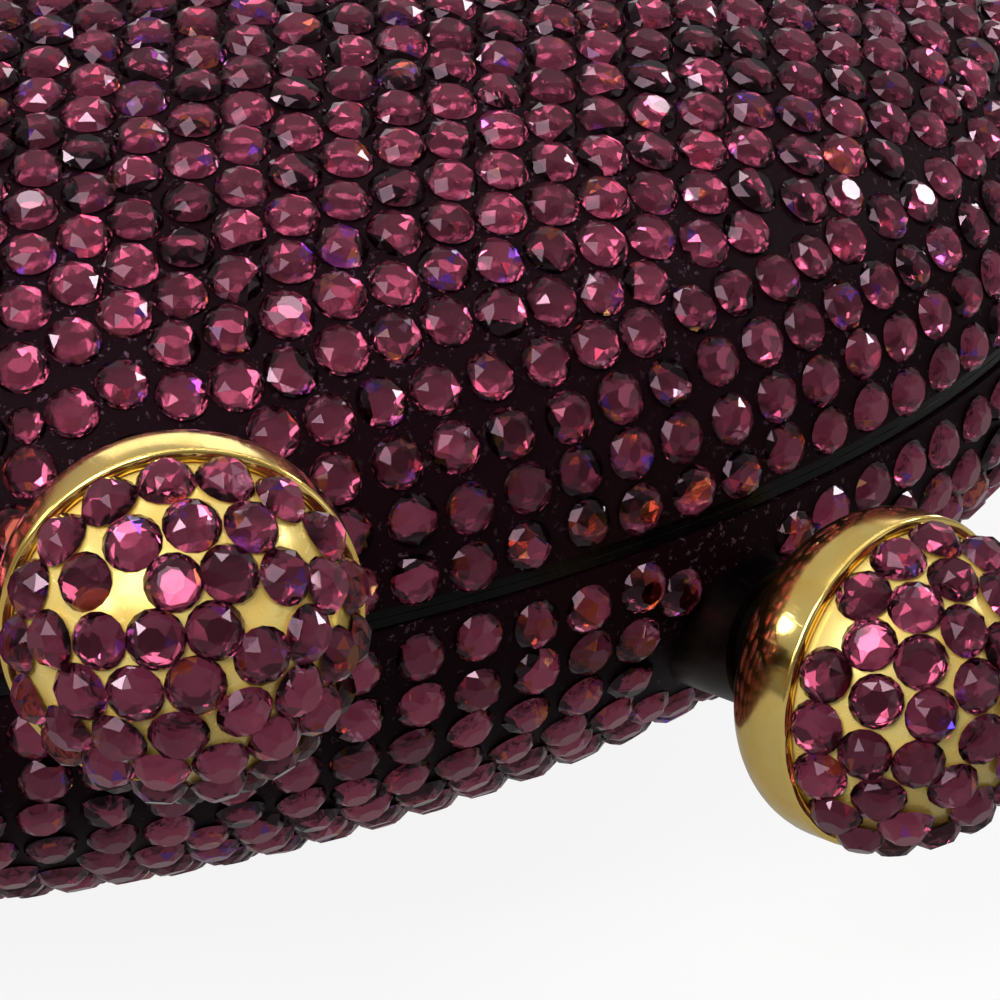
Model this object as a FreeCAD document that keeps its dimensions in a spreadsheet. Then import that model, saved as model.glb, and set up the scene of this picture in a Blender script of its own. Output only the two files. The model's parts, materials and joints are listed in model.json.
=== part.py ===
"""A minaudiere: a hard oval evening case of two equal half shells, paved with crystals.

The case lies on its lower half with the seam level. The hinge is at the back (+Y), the mouth with
its two turn knobs at the front (-Y). Millimetres, +Z up, the origin in the middle of the flat rest
face. Both halves are one design: the upper one is the lower one turned over about the Y direction.
"""
import FreeCAD
import Part
import Sketcher
import math
import os
from FreeCAD import Placement, Rotation, Vector

SIZES = (
    ("half_length", 73.7, "lacquered shell, centre to end at the seam, along X"),
    ("half_width", 59.5, "lacquered shell, centre to edge at the seam, along Y"),
    ("half_depth", 27.65, "seam to the flat outside of the shell"),
    ("side_power", 2.5, "fullness of the side's curve from the seam to the flat"),
    ("flat_level", 0.97, "where the side's curve is cut flat, as a share of its full depth"),
    ("wall", 1.0, "thickness of the pressed metal shell"),
    ("glue_gap", 0.05, "bond line between layers of one half"),
    ("crystal_height", 1.3, "layer of flat backed crystals on the shell"),
    ("lining_thickness", 0.8, "leather lining on its card"),
    ("rim_height", 4.2, "depth of the rim frame inside the shell"),
    ("rim_depth", 3.0, "width of the rim frame, inwards from the shell"),
    ("lip_thickness", 0.6, "rim lip that covers the shell's edge in the seam"),
    ("lip_overhang", 0.2, "lip beyond the lacquered shell"),
    ("edge_gap", 0.1, "crystal layer's edge to the lip"),
    ("knob_offset", 20.1, "knob from the middle of the front, along X"),
    ("knob_height", 8.5, "knob axis to the seam"),
    ("knob_splay", 17.1, "knob axis to the Y direction, degrees"),
    ("lip_stand", 11.4, "cup lip, out from the crystals' edge along the knob axis"),
    ("cup_radius", 10.5, "knob cup"),
    ("cup_depth", 6.5, "knob cup from lip to back"),
    ("cup_round", 4.5, "rounded back edge of the cup"),
    ("cup_lip_round", 0.3, "softened front edge of the cup"),
    ("cup_wall", 0.8, "cup lip around the dome"),
    ("cup_seat", 2.0, "depth of the seat that holds the dome"),
    ("hub_radius", 2.7, "neck behind the cup"),
    ("dome_radius", 9.6, "sphere of the metal dome"),
    ("dome_rise", 8.6, "metal dome beyond the lip"),
    ("dome_gap", 0.05, "dome in its seat, and crystals on the dome"),
    ("pave_edge", 0.15, "crystals on the dome, clear of the cup lip"),
    ("stem_radius", 2.0, "knob stem in its bush"),
    ("spigot_radius", 1.5, "reduced inner end of the stem"),
    ("run_gap", 0.05, "running clearance of turning pieces, on the radius"),
    ("collar_radius", 4.6, "bush collar outside the shell"),
    ("collar_stand", 1.4, "collar face, out from the crystals' edge along the knob axis"),
    ("collar_gap", 0.3, "crystal layer around the collar"),
    ("bush_radius", 3.0, "bush through the shell"),
    ("bush_inside", 9.4, "inner end of the bush, in from the crystals' edge"),
    ("bush_nut_radius", 4.2, "ring nut that holds the bush"),
    ("nut_gap", 0.3, "lining around the ring nut"),
    ("washer_radius", 3.8, "friction washer under the neck"),
    ("washer_thickness", 0.6, "friction washer"),
    ("hook_gap", 0.4, "hook plate to the bush, and hook to strike"),
    ("hook_thickness", 1.5, "hook plate"),
    ("hook_width", 4.0, "arm of the hook"),
    ("hook_hub_radius", 3.2, "round end of the hook on the spigot"),
    ("foot_thickness", 2.0, "foot at the hook's tip"),
    ("foot_length", 4.0, "foot beyond the arm's edge"),
    ("hook_nut_radius", 2.8, "cap nut over corners"),
    ("hook_nut_height", 2.4, "cap nut"),
    ("spigot_length", 3.2, "spigot through the hook and into the cap nut"),
    ("strike_clear", 0.5, "strike to the arm of the locked hook"),
    ("strike_length", 4.5, "ledge that the hook's foot passes under"),
    ("strike_thickness", 1.9, "ledge"),
    ("strike_plate", 1.0, "strike's plate on the rim frame"),
    ("strike_tail", 3.0, "plate beyond the ledge"),
    ("hinge_length", 36.0, "hinge barrel"),
    ("hinge_knuckles", 5, "knuckles along the barrel"),
    ("hinge_offset", 0.3, "barrel axis behind the crystals' edge"),
    ("barrel_radius", 2.0, "hinge knuckle"),
    ("pin_radius", 0.8, "hinge pin"),
    ("pin_head_radius", 1.3, "closed ends of the hinge pin"),
    ("pin_head", 0.5, "length of a pin end"),
    ("knuckle_gap", 0.2, "between knuckles, along the barrel"),
    ("hinge_clear", 0.35, "shell and leaf, clear of the other leaf's knuckles"),
    ("leaf_thickness", 0.9, "hinge leaf"),
    ("leaf_drop", 0.15, "leaf below the seam"),
    ("seat_margin", 0.6, "hinge seat beyond each end of the barrel's room"),
    ("rivet_radius", 0.6, "rivet shank"),
    ("rivet_head_radius", 1.1, "rivet head"),
    ("rivet_head", 0.5, "rivet head thickness"),
    ("rivet_grip", 1.4, "rivet shank inside the rim frame"),
    ("rivet_pitch", 8.5, "rivets along the leaf"),
    ("rivet_count", 4, "rivets in one leaf"),
)
SECTION_STEPS = 7  # spans of the side's curve
NUT_SIDES = 6
LONG = 200.0  # blocks that only trim reach past the whole case
PAST = 1.0  # how far a trimming block runs past a face
SAME_LEVEL = 1e-4

doc = FreeCAD.newDocument("minaudiere")
sheet = doc.addObject("Spreadsheet::Sheet", "dims")
for row, (alias, value, note) in enumerate(SIZES, start=1):
    sheet.set("A%d" % row, alias)
    sheet.set("B%d" % row, str(value))
    sheet.set("C%d" % row, note)
    sheet.setAlias("B%d" % row, alias)
doc.recompute()
size = {alias: float(sheet.get(alias)) for alias, value, note in SIZES}
sub_parts = []

# Levels and insets that several pieces share, as sheet expressions
CRYSTALS = "dims.glue_gap + dims.crystal_height"
SHELL_INSIDE = "dims.wall + dims.glue_gap"
LINING_INSIDE = "dims.wall + dims.glue_gap + dims.lining_thickness"
RIM_INSIDE = "dims.wall + dims.glue_gap + dims.rim_depth"
HINGE_ROOM = "dims.hinge_length + 2 * (dims.knuckle_gap + dims.pin_head + dims.hinge_clear)"

# Places that are worked out from the sheet
crystal_layer = size["glue_gap"] + size["crystal_height"]
seam_level = size["half_depth"] + crystal_layer
crystal_length = size["half_length"] + crystal_layer
crystal_width = size["half_width"] + crystal_layer
rim_inset = size["wall"] + size["glue_gap"] + size["rim_depth"]
rim_face = crystal_layer + rim_inset
hook_face = size["bush_inside"] + size["hook_gap"]
hook_foot = size["knob_height"] + size["rim_height"] + size["hook_gap"]
hinge_axis = crystal_width + size["hinge_offset"]
room_half = size["hinge_length"] / 2 + size["knuckle_gap"] + size["pin_head"] + size["hinge_clear"]
seat_half = room_half + size["seat_margin"]
seat_share = seat_half / (size["half_length"] - rim_inset)
hinge_seat = (size["half_width"] - rim_inset) * math.sqrt(1 - seat_share ** 2)
leaf_floor = size["leaf_drop"] + size["leaf_thickness"]


def at(x=0.0, y=0.0, z=0.0):
    return Placement(Vector(x, y, z), Rotation())


def half_frame(turned):
    """Seam plane at z = 0 with the half below it; the upper half is turned over."""
    return Placement(Vector(0, 0, seam_level), Rotation(Vector(0, 1, 0), 180 if turned else 0))


def knob_frame():
    """Knob axis along z, outwards; x runs along the wall towards the middle, y away from the seam."""
    splay = math.radians(size["knob_splay"])
    share = size["knob_offset"] / crystal_length
    foot = Vector(size["knob_offset"], -crystal_width * math.sqrt(1 - share ** 2), -size["knob_height"])
    along_wall = Vector(-math.cos(splay), -math.sin(splay), 0)
    outwards = Vector(math.sin(splay), -math.cos(splay), 0)
    return Placement(foot, Rotation(along_wall, Vector(0, 0, -1), outwards, "ZXY"))


def bind(item, **expressions):
    for name, expression in expressions.items():
        item.setExpression(name, str(expression))
    return item


def cylinder(name, radius, height, place):
    item = bind(doc.addObject("Part::Cylinder", name), Radius=radius, Height=height)
    item.Placement = place
    return item


def sphere(name, radius, place):
    item = bind(doc.addObject("Part::Sphere", name), Radius=radius)
    item.Placement = place
    return item


def box(name, length, width, height, place):
    item = bind(doc.addObject("Part::Box", name), Length=length, Width=width, Height=height)
    item.Placement = place
    return item


def cut(name, base, *tools):
    for number, tool in enumerate(tools):
        item = doc.addObject("Part::Cut", "%s_cut%d" % (name, number))
        item.Base = base
        item.Tool = tool
        base = item
    return base


def fuse(name, *shapes):
    item = doc.addObject("Part::MultiFuse", name + "_fuse")
    item.Shapes = list(shapes)
    return item


def common(name, base, tool):
    item = doc.addObject("Part::Common", name + "_common")
    item.Base = base
    item.Tool = tool
    return item


def keep(item, label, place):
    """Name a finished sub-part and put it in its place."""
    item.Label = label
    item.Placement = place
    sub_parts.append(item)


def oval(name, inset, sine, width="1"):
    """One oval section, inset from the lacquered surface, at a share of the depth."""
    item = doc.addObject("Part::Ellipse", name)
    bind(item, MajorRadius="(dims.half_length - (%s)) * %s" % (inset, width),
         MinorRadius="(dims.half_width - (%s)) * %s" % (inset, width))
    item.setExpression("Placement.Base.z", "-(dims.half_depth - (%s)) * %s" % (inset, sine))
    return item


def pebble(name, inset):
    """Solid half of the case's form, inset from the lacquered surface and flat at its far end."""
    sections = []
    for step in range(SECTION_STEPS, -1, -1):
        sine = "sin(%d * 90 / %d)" % (step, SECTION_STEPS)
        width = "sqrt(1 - (dims.flat_level * %s) ^ dims.side_power)" % sine
        sections.append(oval("%s_oval%d" % (name, step), inset, sine, width))
    item = doc.addObject("Part::Loft", name)
    item.Sections = sections
    item.Solid = True
    return item


def oval_band(name, inset, top, bottom, fitted=False):
    """Straight oval block between two depths below the seam; a fitted one passes the shell's curve."""
    sine = "((%s) / (dims.half_depth - (%s)))" % (bottom, inset)
    width = "sqrt(1 - (dims.flat_level * %s) ^ dims.side_power)" % sine if fitted else "1"
    item = doc.addObject("Part::Extrusion", name)
    item.Base = oval(name + "_oval", inset, sine, width)
    item.DirMode = "Custom"
    item.Dir = Vector(0, 0, 1)
    item.Solid = True
    return bind(item, LengthFwd="(%s) - (%s)" % (bottom, top))


def above(name, depth):
    """Block over everything higher than a depth below the seam."""
    item = box(name, LONG, LONG, LONG, at(-LONG / 2, -LONG / 2))
    item.setExpression("Placement.Base.z", "-(%s)" % depth)
    return item


def hinge_room(name):
    """Room for the barrel and the two leaves at the back of a half."""
    barrel = cylinder(name + "_barrel", "dims.barrel_radius + dims.hinge_clear", HINGE_ROOM,
                      Placement(Vector(-room_half, hinge_axis, 0), Rotation(Vector(0, 1, 0), 90)))
    slot = box(name + "_slot", HINGE_ROOM, "dims.half_width",
               "dims.leaf_drop + dims.leaf_thickness + dims.edge_gap + %s" % PAST,
               at(-room_half, hinge_seat - size["leaf_thickness"], -leaf_floor - size["edge_gap"]))
    return fuse(name, barrel, slot)


def rivet_places():
    first = -(size["rivet_count"] - 1) / 2 * size["rivet_pitch"]
    level = -(leaf_floor + size["rim_height"]) / 2
    for number in range(int(size["rivet_count"])):
        x = first + number * size["rivet_pitch"]
        yield number, Placement(Vector(x, hinge_seat, level), Rotation(Vector(1, 0, 0), -90))


def rivet_holes(name):
    holes = []
    for number, place in rivet_places():
        start = place.multiply(at(z=-size["leaf_thickness"]))
        holes.append(cylinder("%s_hole%d" % (name, number), "dims.rivet_radius + dims.glue_gap",
                              "dims.leaf_thickness + dims.rivet_grip + dims.glue_gap", start))
    return holes


def shell(half, frame):
    name = half + "_shell"
    hole = cylinder(name + "_hole", "dims.bush_radius + dims.glue_gap", LONG / 4,
                    knob_frame().multiply(at(z=-LONG / 8)))
    walls = cut(name + "_walls", pebble(name + "_out", "0"), pebble(name + "_in", "dims.wall"))
    piece = cut(name, walls, above(name + "_top", "dims.lip_thickness"), hole, hinge_room(name + "_room"))
    keep(piece, name, frame)


def crystal_pave(half, frame):
    name = half + "_pave"
    hole = cylinder(name + "_hole", "dims.collar_radius + dims.collar_gap", LONG / 4,
                    knob_frame().multiply(at(z=-LONG / 8)))
    outside = pebble(name + "_out", "-(%s)" % CRYSTALS)
    layer = cut(name + "_layer", outside, pebble(name + "_in", "-dims.glue_gap"))
    top = above(name + "_top", "dims.lip_thickness + dims.edge_gap")
    keep(cut(name, layer, top, hole, hinge_room(name + "_room")), name, frame)


def lining(half, frame):
    name = half + "_lining"
    hole = cylinder(name + "_hole", "dims.bush_nut_radius + dims.nut_gap", LONG / 4,
                    knob_frame().multiply(at(z=-LONG / 8)))
    layer = cut(name + "_layer", pebble(name + "_out", SHELL_INSIDE), pebble(name + "_in", LINING_INSIDE))
    top = above(name + "_top", "dims.rim_height + dims.edge_gap")
    keep(cut(name, layer, top, hole), name, frame)


def rim_frame(half, frame):
    name = half + "_rim_frame"
    upstand = oval_band(name + "_upstand", SHELL_INSIDE, "dims.lip_thickness", "dims.rim_height",
                        fitted=True)
    lip = oval_band(name + "_lip", "-dims.lip_overhang", "0", "dims.lip_thickness")
    seat = box(name + "_seat", HINGE_ROOM + " + 2 * dims.seat_margin", "dims.half_width", LONG,
               at(-seat_half, hinge_seat, -LONG / 2))
    mouth = oval_band(name + "_mouth", RIM_INSIDE, str(-PAST), "dims.rim_height + %s" % PAST)
    opening = cut(name + "_opening", mouth, seat)
    blank = fuse(name + "_blank", upstand, lip)
    keep(cut(name, blank, opening, hinge_room(name + "_room"), *rivet_holes(name)), name, frame)


def strike(half, frame):
    """Ledge on this half's rim for the hook of the other half's knob."""
    name = half + "_strike"
    other_knob = Placement(Vector(), Rotation(Vector(0, 1, 0), 180)).multiply(knob_frame())
    near_end = size["hook_width"] / 2 + size["strike_clear"]
    ledge_x = -near_end - size["strike_length"]
    deep = -(size["knob_height"] + size["rim_height"])
    ledge_reach = -(hook_face + size["hook_thickness"] + size["hook_gap"])
    ledge = box(name + "_ledge", "dims.strike_length", "dims.strike_thickness", hook_face,
                other_knob.multiply(at(ledge_x, deep, ledge_reach)))
    plate = box(name + "_plate", "dims.strike_length + dims.strike_tail",
                "dims.rim_height - dims.lip_thickness", rim_face,
                other_knob.multiply(at(ledge_x - size["strike_tail"], deep,
                                       -rim_face - size["strike_plate"])))
    room = oval_band(name + "_room", RIM_INSIDE + " + dims.glue_gap", "0", "dims.rim_height")
    keep(common(name, fuse(name, ledge, plate), room), name, frame)


def bush(side, frame):
    """Threaded bush through the shell; its collar is shaped to the lacquered surface."""
    name = side + "_bush"
    inner_end = knob_frame().multiply(at(z=-size["bush_inside"]))
    length = "dims.bush_inside + dims.collar_stand"
    collar = cut(name + "_collar", cylinder(name + "_flange", "dims.collar_radius", length, inner_end),
                 pebble(name + "_seat", "-dims.glue_gap"))
    tube = cylinder(name + "_tube", "dims.bush_radius", length, inner_end)
    bore = cylinder(name + "_bore", "dims.stem_radius + dims.run_gap", length, inner_end)
    keep(cut(name, fuse(name, collar, tube), bore), name, frame)


def bush_nut(side, frame):
    """Ring nut inside the shell, shaped to its inner surface."""
    name = side + "_bush_nut"
    inner_end = knob_frame().multiply(at(z=-size["bush_inside"]))
    ring = cylinder(name + "_ring", "dims.bush_nut_radius", "dims.bush_inside", inner_end)
    thread = cylinder(name + "_thread", "dims.bush_radius + dims.glue_gap", "dims.bush_inside", inner_end)
    keep(cut(name, common(name, ring, pebble(name + "_seat", SHELL_INSIDE)), thread), name, frame)


def origin_plane(body, role):
    return next(item for item in body.Origin.OriginFeatures if item.Role == role)


def disc_sketch(body, name, radius, level="0"):
    """Circle about the body's axis, at a level along it."""
    sketch = body.newObject("Sketcher::SketchObject", name)
    sketch.AttachmentSupport = [(origin_plane(body, "XY_Plane"), "")]
    sketch.MapMode = "FlatFace"
    sketch.setExpression("AttachmentOffset.Base.z", level)
    sketch.addGeometry(Part.Circle(Vector(), Vector(0, 0, 1), size["stem_radius"]))
    sketch.addConstraint(Sketcher.Constraint("Coincident", 0, 3, -1, 1))
    sketch.addConstraint(Sketcher.Constraint("Radius", 0, size["stem_radius"]))
    sketch.setExpression("Constraints[1]", radius)
    return sketch


def rim_edges(feature, level):
    """Names of a feature's round edges at a level along its axis."""
    names = []
    for number, edge in enumerate(feature.Shape.Edges, start=1):
        lowest = edge.BoundBox.ZMin - level
        highest = edge.BoundBox.ZMax - level
        if max(abs(lowest), abs(highest)) < SAME_LEVEL:
            names.append("Edge%d" % number)
    return names


def knob_cup(side, frame):
    """Dished cup with a neck behind it and a seat for the dome; its back is at z = 0."""
    name = side + "_knob_cup"
    body = doc.addObject("PartDesign::Body", name)
    disc = body.newObject("PartDesign::Pad", name + "_disc")
    disc.Profile = disc_sketch(body, name + "_outline", "dims.cup_radius")
    bind(disc, Length="dims.cup_depth")
    doc.recompute()
    back = body.newObject("PartDesign::Fillet", name + "_back")
    back.Base = (disc, rim_edges(disc, 0))
    bind(back, Radius="dims.cup_round")
    doc.recompute()
    front = body.newObject("PartDesign::Fillet", name + "_front")
    front.Base = (back, rim_edges(back, size["cup_depth"]))
    bind(front, Radius="dims.cup_lip_round")
    neck = body.newObject("PartDesign::Pad", name + "_neck")
    neck.Profile = disc_sketch(body, name + "_neck_outline", "dims.hub_radius")
    neck.Reversed = True
    bind(neck, Length="dims.lip_stand - dims.cup_depth - dims.collar_stand - dims.washer_thickness")
    seat = body.newObject("PartDesign::Pocket", name + "_seat")
    seat.Profile = disc_sketch(body, name + "_seat_outline", "dims.cup_radius - dims.cup_wall",
                               "dims.cup_depth")
    bind(seat, Length="dims.cup_seat")
    bore = body.newObject("PartDesign::Pocket", name + "_bore")
    bore.Profile = disc_sketch(body, name + "_bore_outline", "dims.stem_radius + dims.glue_gap",
                               "dims.cup_depth")
    bind(bore, Length="dims.lip_stand")
    keep(body, name, frame.multiply(knob_frame()).multiply(at(z=size["lip_stand"] - size["cup_depth"])))


def dome_centre():
    return at(z=size["lip_stand"] + size["dome_rise"] - size["dome_radius"])


def knob_dome(side, frame):
    name = side + "_knob_dome"
    ball = sphere(name + "_ball", "dims.dome_radius", dome_centre())
    plug = cylinder(name + "_plug", "dims.cup_radius - dims.cup_wall - dims.dome_gap",
                    "dims.dome_radius * 2", at(z=size["lip_stand"] - size["cup_seat"]))
    keep(common(name, ball, plug), name, frame.multiply(knob_frame()))


def knob_pave(side, frame):
    """Layer of crystals on the dome, open where the dome goes into its seat."""
    name = side + "_knob_pave"
    outside = sphere(name + "_outside", "dims.dome_radius + dims.dome_gap + dims.crystal_height",
                     dome_centre())
    inside = sphere(name + "_inside", "dims.dome_radius + dims.dome_gap", dome_centre())
    below = cylinder(name + "_below", "dims.dome_radius * 2", LONG / 2,
                     at(z=size["lip_stand"] + size["pave_edge"] - LONG / 2))
    keep(cut(name, outside, inside, below), name, frame.multiply(knob_frame()))


def knob_stem(side, frame):
    name = side + "_knob_stem"
    shaft = cylinder(name + "_shaft", "dims.stem_radius",
                     "dims.bush_inside + dims.hook_gap + dims.lip_stand - dims.cup_seat", at(z=-hook_face))
    spigot = cylinder(name + "_spigot", "dims.spigot_radius", "dims.spigot_length",
                      at(z=-hook_face - size["spigot_length"]))
    keep(fuse(name, shaft, spigot), name, frame.multiply(knob_frame()))


def knob_washer(side, frame):
    name = side + "_knob_washer"
    place = at(z=size["collar_stand"])
    disc = cylinder(name + "_disc", "dims.washer_radius", "dims.washer_thickness", place)
    hole = cylinder(name + "_hole", "dims.stem_radius + dims.run_gap", "dims.washer_thickness", place)
    keep(cut(name, disc, hole), name, frame.multiply(knob_frame()))


def hook(side, frame):
    """Turned a quarter, the foot passes under the other half's strike and locks the case."""
    name = side + "_hook"
    level = -hook_face - size["hook_thickness"]
    half_arm = size["hook_width"] / 2
    hub = cylinder(name + "_hub", "dims.hook_hub_radius", "dims.hook_thickness", at(z=level))
    arm = box(name + "_arm", "dims.knob_height + dims.rim_height + dims.hook_gap + dims.foot_thickness",
              "dims.hook_width", "dims.hook_thickness", at(0, -half_arm, level))
    foot = box(name + "_foot", "dims.foot_thickness", "dims.hook_width / 2 + dims.foot_length",
               "dims.hook_thickness", at(hook_foot, -half_arm - size["foot_length"], level))
    hole = cylinder(name + "_hole", "dims.spigot_radius + dims.glue_gap", "dims.hook_thickness",
                    at(z=level))
    keep(cut(name, fuse(name, hub, arm, foot), hole), name, frame.multiply(knob_frame()))


def hook_nut(side, frame):
    """Cap nut that holds the hook on the stem."""
    name = side + "_hook_nut"
    level = -hook_face - size["hook_thickness"] - size["hook_nut_height"]
    blank = doc.addObject("Part::Prism", name + "_blank")
    blank.Polygon = NUT_SIDES
    bind(blank, Circumradius="dims.hook_nut_radius", Height="dims.hook_nut_height")
    blank.Placement = at(z=level)
    thread = cylinder(name + "_thread", "dims.spigot_radius + dims.glue_gap", "dims.spigot_length",
                      at(z=-hook_face - size["spigot_length"] - size["glue_gap"]))
    keep(cut(name, blank, thread), name, frame.multiply(knob_frame()))


def hinge_leaf(label, first, frame):
    """Plate on the rim's seat, a web out to the barrel, and every second knuckle."""
    count = int(size["hinge_knuckles"])
    knuckle = (size["hinge_length"] - (count - 1) * size["knuckle_gap"]) / count
    knuckle_length = ("(dims.hinge_length - (dims.hinge_knuckles - 1) * dims.knuckle_gap)"
                      " / dims.hinge_knuckles")
    left_end = -size["hinge_length"] / 2
    inner = hinge_seat - size["leaf_thickness"]
    clear = size["barrel_radius"] + size["hinge_clear"]
    plate = box(label + "_plate", "dims.hinge_length", "dims.leaf_thickness",
                "dims.rim_height - dims.leaf_drop", at(left_end, inner, -size["rim_height"]))
    web = box(label + "_web", "dims.hinge_length", hinge_axis - clear - inner, "dims.leaf_thickness",
              at(left_end, inner, -leaf_floor))
    solids = [plate, web]
    for number in range(first, count, 2):
        x = left_end + number * (knuckle + size["knuckle_gap"])
        along = Placement(Vector(x, hinge_axis, 0), Rotation(Vector(0, 1, 0), 90))
        solids.append(cylinder("%s_barrel%d" % (label, number), "dims.barrel_radius", knuckle_length,
                               along))
        solids.append(box("%s_tab%d" % (label, number), knuckle_length,
                          "dims.barrel_radius + dims.hinge_clear", "dims.leaf_thickness",
                          at(x, hinge_axis - clear, -leaf_floor)))
    bore = cylinder(label + "_bore", "dims.pin_radius + dims.run_gap", "dims.hinge_length",
                    Placement(Vector(left_end, hinge_axis, 0), Rotation(Vector(0, 1, 0), 90)))
    keep(cut(label, fuse(label, *solids), bore, *rivet_holes(label)), label, frame)


def hinge_pin(frame):
    name = "hinge_pin"
    half = size["hinge_length"] / 2 + size["knuckle_gap"]
    turn = Rotation(Vector(0, 1, 0), 90)
    rod = cylinder(name + "_rod", "dims.pin_radius", "dims.hinge_length + 2 * dims.knuckle_gap",
                   Placement(Vector(-half, hinge_axis, 0), turn))
    ends = []
    for end, x in (("left", -half - size["pin_head"]), ("right", half)):
        ends.append(cylinder("%s_%s" % (name, end), "dims.pin_head_radius", "dims.pin_head",
                             Placement(Vector(x, hinge_axis, 0), turn)))
    keep(fuse(name, rod, *ends), name, frame)


def hinge_rivets(label, frame):
    rivets = []
    for number, place in rivet_places():
        name = "%s_%d" % (label, number)
        inside = place.multiply(at(z=-size["leaf_thickness"]))
        shank = cylinder(name + "_shank", "dims.rivet_radius", "dims.leaf_thickness + dims.rivet_grip",
                         inside)
        head = cylinder(name + "_head", "dims.rivet_head_radius", "dims.rivet_head",
                        inside.multiply(at(z=-size["rivet_head"])))
        rivets.append(fuse(name, shank, head))
    group = doc.addObject("Part::Compound", label + "_group")
    group.Links = rivets
    keep(group, label, frame)


for half_name, knob_side, turned in (("lower", "right", False), ("upper", "left", True)):
    half_place = half_frame(turned)
    shell(half_name, half_place)
    crystal_pave(half_name, half_place)
    lining(half_name, half_place)
    rim_frame(half_name, half_place)
    strike(half_name, half_place)
    bush(knob_side, half_place)
    bush_nut(knob_side, half_place)
    for piece_of_knob in (knob_cup, knob_dome, knob_pave, knob_stem, knob_washer, hook, hook_nut):
        piece_of_knob(knob_side, half_place)

hinge_leaf("hinge_base_leaf", 0, half_frame(False))
hinge_leaf("hinge_lid_leaf", 1, half_frame(True))
hinge_rivets("hinge_base_rivets", half_frame(False))
hinge_rivets("hinge_lid_rivets", half_frame(True))
hinge_pin(half_frame(False))

doc.recompute()
for item in doc.Objects:
    if "Invalid" in item.State or "Error" in item.State:
        raise RuntimeError("%s failed: %s" % (item.Label, item.State))
for item in sub_parts:
    if item.Shape.isNull() or not item.Shape.isValid():
        raise RuntimeError("%s has no valid shape" % item.Label)

os.makedirs("parts", exist_ok=True)
for item in sub_parts:
    item.Shape.exportStep(os.path.join("parts", item.Label + ".step"))
    print("%-20s solids %d volume %9.1f mm3" % (item.Label, len(item.Shape.Solids), item.Shape.Volume))
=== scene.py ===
import json
import math
import random

import bmesh
import bpy
from mathutils import Matrix, Vector

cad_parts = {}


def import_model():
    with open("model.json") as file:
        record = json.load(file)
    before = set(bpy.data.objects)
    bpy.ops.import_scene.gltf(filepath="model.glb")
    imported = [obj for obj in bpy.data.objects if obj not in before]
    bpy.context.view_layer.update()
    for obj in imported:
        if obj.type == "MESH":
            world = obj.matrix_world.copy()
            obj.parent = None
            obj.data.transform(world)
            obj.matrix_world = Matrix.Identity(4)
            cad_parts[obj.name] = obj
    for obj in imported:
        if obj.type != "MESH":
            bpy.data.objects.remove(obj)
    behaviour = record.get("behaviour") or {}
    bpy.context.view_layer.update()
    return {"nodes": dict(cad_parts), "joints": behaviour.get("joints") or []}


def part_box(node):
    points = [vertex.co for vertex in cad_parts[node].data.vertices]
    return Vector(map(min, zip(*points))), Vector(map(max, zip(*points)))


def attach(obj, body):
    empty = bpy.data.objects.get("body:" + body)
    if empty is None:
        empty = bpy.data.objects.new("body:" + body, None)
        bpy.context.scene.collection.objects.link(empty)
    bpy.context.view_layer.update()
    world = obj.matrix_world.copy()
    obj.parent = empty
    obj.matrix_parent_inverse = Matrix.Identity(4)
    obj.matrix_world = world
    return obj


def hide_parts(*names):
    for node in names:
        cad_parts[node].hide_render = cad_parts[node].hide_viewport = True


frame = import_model()
MM = 0.001
random.seed(11)

# The case's form, from the frame: an oval pebble of two equal halves that meet at the seam
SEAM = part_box("upper_pave")[1].z / 2
HALF_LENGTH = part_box("lower_shell")[1].x
HALF_WIDTH = -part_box("lower_shell")[0].y
HALF_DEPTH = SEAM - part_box("lower_shell")[0].z
SIDE_POWER = 2.5
FLAT_LEVEL = 0.97
GLUE = 0.05 * MM

# Crystals
STONE_RADIUS = 1.76 * MM
STONE_HEIGHT = 0.86 * MM
BED = 0.45 * MM  # dark bed that the stones of the case are set in
BED_EDGE = 0.7 * MM  # its edge, from the seam
BED_STEPS = 40
BED_SEGMENTS = 240
STONE_TABLE = 0.47  # share of the radius
STONE_CROWN = (0.82, 0.55)  # share of the radius and of the height where the upper facets start
STONE_SIDES = 16
STONE_SIZES = (0.975, 1.02)  # smallest and largest, to the usual one
STONE_TINT = Vector((0.31, 0.054, 0.1))
# Painted fire: bright blue, violet, orange, red and white facet colours stand in for glints of split light
PAINTED_FIRE_TINTS = ((0.08, 0.04, 1.0), (0.3, 0.05, 0.9), (1.0, 0.3, 0.04), (1.0, 0.06, 0.12), (0.95, 0.85, 0.95))
PAINTED_FIRE_SHARE = 0.045  # of the crown facets that get a painted fire colour
STONE_SHADES = (0.5, 1.25)  # darkest and palest, to the usual tint
SEAM_ROWS = 4
FIRST_ROW = {"lower": 3.0 * MM, "upper": 2.25 * MM}
SEAM_ROW_STEP = 3.45 * MM
SEAM_PITCH = 3.95 * MM
SEAM_STRAY = 0.12 * MM  # how far a stone is set off its row
CLOSE_PITCH = 3.55 * MM
CLOSE_ROW_STEP = 3.3 * MM
CLOSE_STRAY = 0.09 * MM
SEAM_STONE = 0.95  # size of a stone of the seam rows, to that of the others
CELL = 4 * MM  # wider than the centres of two touching stones lie apart
LEAST_SHARE = 0.94  # of a stone's diameter, between the centres of two stones
LOOSE_SHARE = 0.85  # the same for loose stones, before they are shifted apart
LOOSE_TURNS = (LOOSE_SHARE, LOOSE_SHARE, LOOSE_SHARE, LEAST_SHARE)
LOOSE_SIZES = (0.88, 1.0)
LOOSE_REACH = 14 * MM  # past the seam rows
LOOSE_DEPTHS = (11.0 * MM, 20.5 * MM)  # between the seam rows and the straight rows
EVEN_REACH = 1.05  # stones nearer than this, in their own diameters, shift apart
EVEN_STEP = 0.3
EVEN_TURNS = 12
FILLER_SIZES = (0.64, 0.8)
FILLER_REACH = 30 * MM  # past the seam rows
PUT_TRIES = 8
RING_TRIES = 6000
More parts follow.
